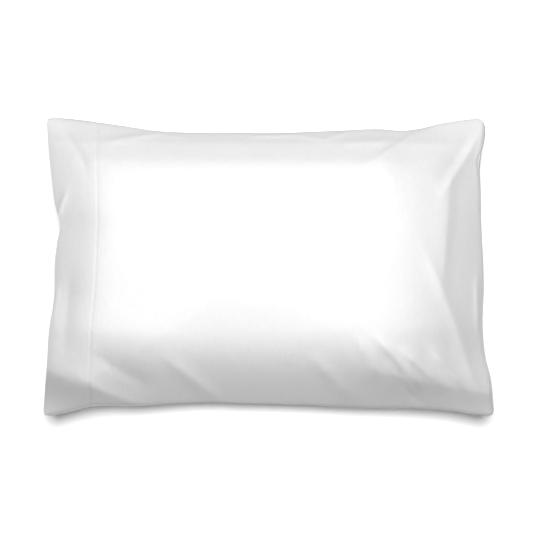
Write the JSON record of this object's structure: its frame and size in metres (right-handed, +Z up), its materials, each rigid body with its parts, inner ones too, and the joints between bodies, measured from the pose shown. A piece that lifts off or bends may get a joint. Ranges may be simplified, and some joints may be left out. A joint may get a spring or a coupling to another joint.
{
  "type": "bed pillow",
  "caption": "Bed pillow: a fibre-filled insert in a plain white pillowcase with a hemmed open end, lying flat.",
  "frame": {"origin": "under the middle of the pillow, on the surface that it lies on", "axes": "+X along the pillow's length towards the case's closed end, so the open mouth is at -X; +Y across its width; +Z up"},
  "size_m": [0.7499, 0.5, 0.145],
  "materials": {
    "case_percale": "matt plain-weave cotton, crisp, with a soft sheen at grazing angles",
    "case_thread": "fine cotton sewing thread",
    "label_ribbon": "blank woven ribbon with a slight satin sheen",
    "ticking_cotton": "dense matt twill ticking, slightly warmer than the case",
    "ticking_thread": "cotton sewing thread",
    "polyester_fibre": "loose white fibre wadding"
  },
  "bodies": {
    "case": {"case_front_panel": "case_percale", "case_back_panel": "case_percale", "case_front_hem": "case_percale", "case_back_hem": "case_percale", "case_front_hem_stitching": "case_thread", "case_back_hem_stitching": "case_thread", "case_far_seam": "case_percale", "case_near_seam": "case_percale", "case_end_seam": "case_percale", "case_care_label": "label_ribbon"},
    "insert": {"ticking_top": "ticking_cotton", "ticking_bottom": "ticking_cotton", "ticking_seam": "ticking_cotton", "ticking_closing_stitches": "ticking_thread", "ticking_label": "label_ribbon", "fibre_fill": "polyester_fibre"}
  },
  "joints": [
    {"name": "insert_slide", "type": "slide", "parent": "case", "child": "insert", "axis": [-1, 0, 0], "range_m": [0, 0.76], "deforming": ["case_front_panel", "case_back_panel", "case_front_hem", "case_back_hem", "case_front_hem_stitching", "case_back_hem_stitching", "case_far_seam", "case_near_seam", "case_end_seam", "case_care_label"]}
  ]
}
